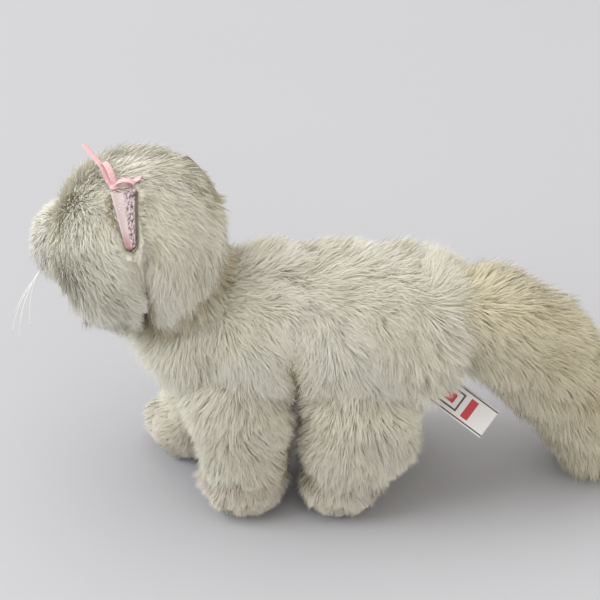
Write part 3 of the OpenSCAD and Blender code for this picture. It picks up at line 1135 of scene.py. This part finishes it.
def make_leg(leg, seed):
    body = leg + "_leg"
    skin = leg_skin(leg, SKIN_DEPTH)
    paw_top = box(leg + "_paw_cover")[1][2]
    paw = centre_of(skin)[:, 2] < paw_top

    def leg_length(p):
        length = 10 + 6 * step_up(p[:, 2], paw_top, paw_top + 26)
        length *= 1 + 0.3 * waves(p, 12, seed) * (1 - step_up(p[:, 2], paw_top, paw_top + 12))
        return length * (1 - 0.4 * crevice(p)) * (1 - 0.6 * near_label(p))

    def paw_length(p):
        return (6 + 6 * step_up(p[:, 2], 6, paw_top)) * (1 + 0.2 * waves(p, 10, seed))

    def paw_cover(p):
        return 0.02 + 0.98 * step_up(p[:, 2], 0.8, 2.5)

    style = dict(LONG, count=15000, length=leg_length, comb=leg_comb(leg), pull=spread(0.5))
    # Painted shade: a lower tone darkens the leg fur, as the legs get less light than the back, and the
    # crevice between the legs is darker still.
    style.update(tone=0.44, shade=crevice, cover=clear_of(inside_torso, deep=8))
    fur(leg + "_leg_cover", body, skin, ~paw, style, seed)
    style = dict(LONG, count=12000, length=paw_length, comb=leg_comb(leg), pull=spread(0.5))
    # Painted shade in the crevice between the legs, on the paws too.
    style.update(slot="short_pile", material=short_pile, shade=crevice, cover=paw_cover)
    fur(leg + "_paw_cover", body, skin, paw, style, seed + 1)
    add_filling(leg + "_leg_stuffing", body, leg_skin(leg, FILL_DEPTH, sole=3))


def make_tail():
    style = dict(LONG, count=36000, material=tail_pile, length=spread(19), comb=tail_comb)
    style.update(pull=spread(0.45), tone=0.42, cover=clear_of(inside_torso, deep=12))
    fur("tail_cover", "tail", tail_skin(SKIN_DEPTH), ALL, style, 61)
    add_filling("tail_stuffing", "tail", tail_skin(FILL_DEPTH))
    skin = round_skin(TAIL_ROOT, spread(ROOT_RADIUS - SKIN_DEPTH))
    style.update(count=6000, length=spread(13), cover=clear_of(inside_torso, inside_tail, deep=8))
    style.update(comb=lambda p: np.tile([0.8, 0, -0.3], (len(p), 1)))
    fur("tail_root", "tail_root", skin, ALL, style, 62, "tail_root_stuffing")


# ---- The small pieces ----


def add_piece(name, shape, material, body, node):
    """A shape, as points, faces and map, that rides on its body in place of a CAD node."""
    points, faces, uv = shape
    mesh = bpy.data.meshes.new(name)
    faces = [tuple(int(v) for v in face) for face in faces]
    mesh.from_pydata((points * MM).tolist(), [], faces)
    layer = mesh.uv_layers.new(name=BAKE_UV)
    layer.data.foreach_set("uv", uv[[v for face in faces for v in face]].ravel())
    mesh.polygons.foreach_set("use_smooth", np.ones(len(faces), bool))
    mesh.materials.append(material)
    mesh.update()
    item = placed(name, mesh)
    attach(item, body)
    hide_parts(node)
    return item


def flat_map(points, size):
    """A map straight from the side, over a square of a size."""
    return np.stack([points[:, 0] / size + 0.5, points[:, 2] / size + 0.5], 1)


def slab(grid, normals, thickness):
    """A thin closed slab under a grid of points: its points, faces and map."""
    rows, columns = grid.shape[:2]
    top = grid.reshape(-1, 3)
    points = np.vstack([top, top - thickness * normals.reshape(-1, 3)])
    size = len(top)
    faces = []
    for r in range(rows - 1):
        for c in range(columns - 1):
            a = r * columns + c
            quad = [a, a + 1, a + columns + 1, a + columns]
            faces.append(quad)
            faces.append([v + size for v in reversed(quad)])
    rim = list(range(columns))
    rim += [r * columns + columns - 1 for r in range(1, rows)]
    rim += [(rows - 1) * columns + c for c in reversed(range(columns - 1))]
    rim += [r * columns for r in reversed(range(1, rows - 1))]
    for a, b in zip(rim, rim[1:] + rim[:1]):
        faces.append([b, a, a + size, b + size])
    along, across = np.meshgrid(np.linspace(0, 1, rows), np.linspace(0, 1, columns), indexing="ij")
    uv = np.stack([along.ravel(), across.ravel()], 1)
    return points, faces, np.vstack([uv, uv])


def grid_normals(grid):
    """The normal at each point of a grid: across its columns, then along its rows."""
    return unit(np.cross(np.gradient(grid, axis=1), np.gradient(grid, axis=0)))


def joined(parts):
    """Several meshes, each points, faces and map, as one."""
    points, faces, uv = [], [], []
    start = 0
    for part_points, part_faces, part_uv in parts:
        points.append(part_points)
        faces += [[int(v) + start for v in face] for face in part_faces]
        uv.append(part_uv)
        start += len(part_points)
    return np.vstack(points), faces, np.vstack(uv)


def leaf_frame(joint, node):
    """A hinged leaf's seam, with its way out, its way across and its upper side."""
    seam, across = pivots[joint], axes[joint]
    corners = corners_of(node) - seam
    way = corners.mean(0)
    way = unit(way - (way @ across) * across)
    up = np.cross(across, way)
    if up[2] < 0:
        up, across = -up, -across
    return seam, way, across, up, corners


# How high each lining lies over its ear's middle, and how far the tips droop: the head tilts to
# the cat's right, so the right ear hangs lower.
LINING_LIFT = {"left": 1.2, "right": 0.4}
EAR_DROOP = {"left": -3.0, "right": -9.0}


def ear_leaf(side, inset, lift, rows=22, columns=13):
    """A grid over the ear's leaf, from the seam to the tip and across it to its back edge."""
    seam, way, across, up, corners = leaf_frame(side + "_ear_flap", side + "_ear_cover")
    if across @ FORWARD > 0:
        across = -across
    length = (corners @ way).max()
    base = (corners @ across).max()
    tip = 5.0
    out = np.linspace(0, 1, rows) ** 0.9 * (length - inset)
    shoulder = length - tip - 1
    wide = base + (tip - base) * np.clip(out / shoulder, 0, 1)
    past = np.clip((out - shoulder) / (length - inset - shoulder), 0, 1)
    wide = np.maximum((wide - inset) * np.sqrt(1 - past**2), 0.3)
    share = np.linspace(-1, 1, columns)
    curl = 2.6 * np.abs(share) ** 2.2
    droop = EAR_DROOP[side] * (out / length) ** 2
    height = lift + curl[None, :] * (0.35 + 0.65 * (1 - out / length))[:, None] + droop[:, None]
    grid = seam + out[:, None, None] * way + (wide[:, None] * share)[:, :, None] * across
    return grid + height[:, :, None] * up, way, across, up


def make_lining(side):
    """The satin on the ear's upper side, with the end of its map's width at the back edge."""
    grid, _, across, up = ear_leaf(side, 2.0, LINING_LIFT[side])
    if (grid_normals(grid) @ up).mean() < 0:
        grid = grid[:, ::-1]
    points, faces, uv = slab(grid, grid_normals(grid), 0.8)
    if (grid[0, -1] - grid[0, 0]) @ across < 0:
        uv = uv * [1, -1] + [0, 1]
    name, body = side + "_ear_lining", side + "_ear"
    lining = add_piece(name + "_satin", (points, faces, uv), ear_material, body, name)
    cloth = np.linalg.norm(np.cross(np.gradient(grid, axis=0), np.gradient(grid, axis=1)), axis=2)


def make_ear_cover(side, seed):
    """The fur on the ear's lower side, which stands out past its edges and its tip."""
    grid, way, _, up = ear_leaf(side, 0.8, -1.6)
    if (grid_normals(grid) @ up).mean() < 0:
        grid = grid[:, ::-1]
    rows, columns = grid.shape[:2]
    share = np.linspace(-1, 1, columns)[None, :, None]
    across = grid[0, -1] - grid[0, 0]
    edge, half = unit(across), np.linalg.norm(across) / 2
    tip = (np.linspace(0, 1, rows) ** 6)[:, None, None]
    outer = 0.9 * np.sign(share) * np.abs(share) ** 3 * edge
    normals = unit(-grid_normals(grid) + outer + 0.9 * tip * way)
    triangles = []
    for r in range(rows - 1):
        for c in range(columns - 1):
            a = r * columns + c
            triangles.append([a, a + columns, a + 1])
            triangles.append([a + 1, a + columns, a + columns + 1])
    seam = pivots[side + "_ear_flap"]

    def comb(p):
        aside = (p - seam) @ edge / half
        return way + (1.5 * aside * np.abs(aside))[:, None] * edge

    skin = grid.reshape(-1, 3), np.array(triangles), normals.reshape(-1, 3)
    style = dict(LONG, count=3200, comb=comb, pull=spread(0.6), rise=34, fall=10, loose=30, fill=0.15)
    style.update(length=lambda p: 6 * (1 + 0.5 * waves(p, 5, seed)))
    # Painted shade on the fur along the ear's back edge, for the shadow beside the ear.
    style.update(shade=lambda p: 0.55 * step_up((p - seam) @ edge / half, 0.3, 0.9))
    fur(side + "_ear_cover", side + "_ear", skin, ALL, style, seed)


def ribbon_strip(path, across, width=3.8, thickness=0.4):
    """A ribbon that follows a path of points, with its width along across at each."""
    share = np.linspace(-0.5, 0.5, 5)[None, :, None]
    grid = path[:, None] + width * share * across[:, None]
    return slab(grid, grid_normals(grid), thickness)


def bow_way(turn, rise):
    """Out from the bow's knot, across the ribbon, and up from its face."""
    turn, rise = math.radians(turn), math.radians(rise)
    level = -math.cos(turn) * FORWARD - math.sin(turn) * ASIDE
    out = math.cos(rise) * level + math.sin(rise) * UP
    across = math.sin(turn) * FORWARD - math.cos(turn) * ASIDE
    return out, across, np.cross(out, across)


def make_bow():
    """One satin ribbon tied in a bow: two loops, two tails with slanted ends, and the knot."""
    parts = []
    for turn, rise, length, height in ((154, 44, 15, 8), (28, 12, 12, 7)):
        out, across, up = bow_way(turn, rise)
        t = np.linspace(0.12, 2 * np.pi - 0.12, 32)[:, None]
        pinch = 1 - 0.45 * np.cos(t / 2) ** 8
        path = BOW_KNOT + out * length * (1 - np.cos(t)) / 2 + up * height / 2 * np.sin(t) * pinch
        parts.append(ribbon_strip(path, np.tile(across, (len(t), 1))))
    for turn, rise, length, curve in ((167, 38, 30, 1.2), (42, 10, 17, -1.5)):
        out, across, up = bow_way(turn, rise)
        t = np.linspace(0, 1, 20)[:, None]
        path = BOW_KNOT + out * length * t + up * curve * np.sin(t * 4.5)
        roll = 0.25 * np.sin(3 * t)
        points, faces, uv = ribbon_strip(path, np.cos(roll) * across + np.sin(roll) * up)
        # A slanted cut at the end.
        points = points + out * (2.2 * uv[:, :1] ** 12 * (uv[:, 1:] - 0.5))
        parts.append((points, faces, uv))
    points, faces, _ = round_skin(np.zeros(3), lambda w: 2.5 + 0.12 * np.sin(11 * w[:, 2]))
    parts.append((BOW_KNOT + points * [1.0, 1.05, 0.9], faces, flat_map(points[:, ::-1], 12)))
    name = "ribbon_bow"
    add_piece(name + "_satin", joined(parts), ribbon_material, "head", name)


def make_label():
    """The sewn-in label as a thin satin sheet that leaves its seam with a soft bend."""
    seam, way, across, up, corners = leaf_frame("label_flap", "label")
    half = (corners @ across).max()
    start, end = 0.6, (corners @ way).max()
    out = np.linspace(start, end, 24)
    share = np.linspace(-1, 1, 9)
    bend = 1.3 * np.sin((out - start) / (end - start) * 4.4)
    cup = 0.5 * share**2
    grid = seam + out[:, None, None] * way + (half * share)[None, :, None] * across
    grid = grid + (bend[:, None] + cup[None, :])[:, :, None] * up
    if (grid_normals(grid) @ up).mean() < 0:
        grid = grid[:, ::-1]
    shape = slab(grid, grid_normals(grid), 0.3)
    label = add_piece("label_cloth", shape, label_material, "label", "label")


def around_map(rows, around):
    """The map of a round skin: its tilt from its way, so that rings have one colour."""
    tilt = np.linspace(0, 1, rows + 2)
    along = np.r_[0, np.repeat(tilt[1:-1], around), 1]
    across = np.r_[0.5, np.tile(np.linspace(0, 1, around), rows), 0.5]
    return np.stack([along, across], 1)


def make_eyes():
    rows, around = 40, 48
    for side, way in EYE_WAYS.items():
        points, faces, _ = round_skin(EYES[side], spread(EYE_RADIUS), way, rows, around)
        shape = points, faces, around_map(rows, around)
        name = side + "_eye"
        add_piece(name + "_dome", shape, eye_material, "head", name)


def make_nose():
    """A small moulded nose: wide at the top, narrow below, with two dents for nostrils."""
    points, faces, _ = round_skin(np.zeros(3), spread(1), UP, 30, 44)
    ahead, aside, high = points @ FORWARD, points @ ASIDE, points[:, 2]
    width = 6.6 * (0.55 + 0.45 * step_up(high, -0.9, 0.4))
    dent = np.exp(-(((np.abs(aside) - 0.45) / 0.2) ** 2) - ((high + 0.15) / 0.22) ** 2)
    depth = 5.2 - 1.3 * dent
    place = NOSE + (depth * ahead)[:, None] * FORWARD + (width * aside)[:, None] * ASIDE
    place = place + (4.6 * high)[:, None] * UP
    shape = place, faces, flat_map(points, 2)
    add_piece("nose_moulded", shape, nose_material, "head", "nose")


def make_mouth():
    """Three embroidered stitches in a line down from the nose."""
    parts = []
    for place, angle in zip(mouth_places(), MOUTH_ANGLES):
        along, out = mouth_way(angle + 90), mouth_way(angle)
        points, faces, _ = round_skin(np.zeros(3), spread(1), along, 12, 16)
        shape = 1.9 * (points @ along)[:, None] * along + 0.9 * (points @ ASIDE)[:, None] * ASIDE
        points = place + shape + 0.9 * (points @ out)[:, None] * out
        parts.append((points, faces, np.full((len(points), 2), 0.5)))
    name = "mouth_stitch"
    add_piece(name + "_thread", joined(parts), thread_material, "head", name)


def filament(path, radius):
    """A thin tapering rod along a path: points, faces and map."""
    along = unit(np.gradient(path, axis=0))
    side = unit(np.cross(along, FORWARD))
    other = np.cross(along, side)
    turn = turns(8)[None, :, None]
    size = radius * np.linspace(1, 0.35, len(path))[:, None, None]
    rings = path[:, None] + size * (np.cos(turn) * side[:, None] + np.sin(turn) * other[:, None])
    points, faces, _ = loft(rings, path[0], path[-1])
    length = np.linspace(0, 1, len(path))
    uv = np.stack([np.r_[0, np.repeat(length, 8), 1], np.full(len(points), 0.5)], 1)
    return points, faces, uv


def make_whiskers():
    """Stiff nylon filaments that spring out of the muzzle and bend down a little."""
    for side, sign in (("left", 1), ("right", -1)):
        parts = []
        for fan, length in ((-15, 44), (-4, 52), (7, 50), (18, 40)):
            lean = math.radians(fan)
            out = 0.47 * FORWARD - lean * 0.57 * FORWARD + 0.69 * sign * ASIDE - 0.55 * UP
            root = MUZZLE + (MUZZLE_RADIUS - 1) * unit(out)
            way = 0.766 * math.sin(lean) * FORWARD + 0.643 * sign * ASIDE
            way = way - 0.766 * math.cos(lean) * UP
            t = np.linspace(0, 1, 14)[:, None]
            bow = 0.10 * length * np.sin(np.pi * t * 0.9) * (sign * ASIDE + 0.6 * FORWARD)
            parts.append(filament(root + t * length * way + bow, 0.42))
        name = side + "_whiskers"
        add_piece(name + "_nylon", joined(parts), nylon_material, "head", name)


make_torso()
make_neck()
make_head()
for number, leg in enumerate(LEGS):
    make_leg(leg, 41 + 3 * number)
make_tail()
for side, seed in (("left", 71), ("right", 73)):
    make_lining(side)
    make_ear_cover(side, seed)
make_bow()
make_label()
make_eyes()
make_nose()
make_mouth()
make_whiskers()

# The fibre and the washers that no piece replaces keep their CAD shapes.
for ending, material in (("_stuffing", stuffing_material), ("_washer", washer_material)):
    for node, item in frame["nodes"].items():
        if node.endswith(ending) and "leg" not in node and node != "tail_stuffing":
            item.data.materials.clear()
            item.data.materials.append(material)
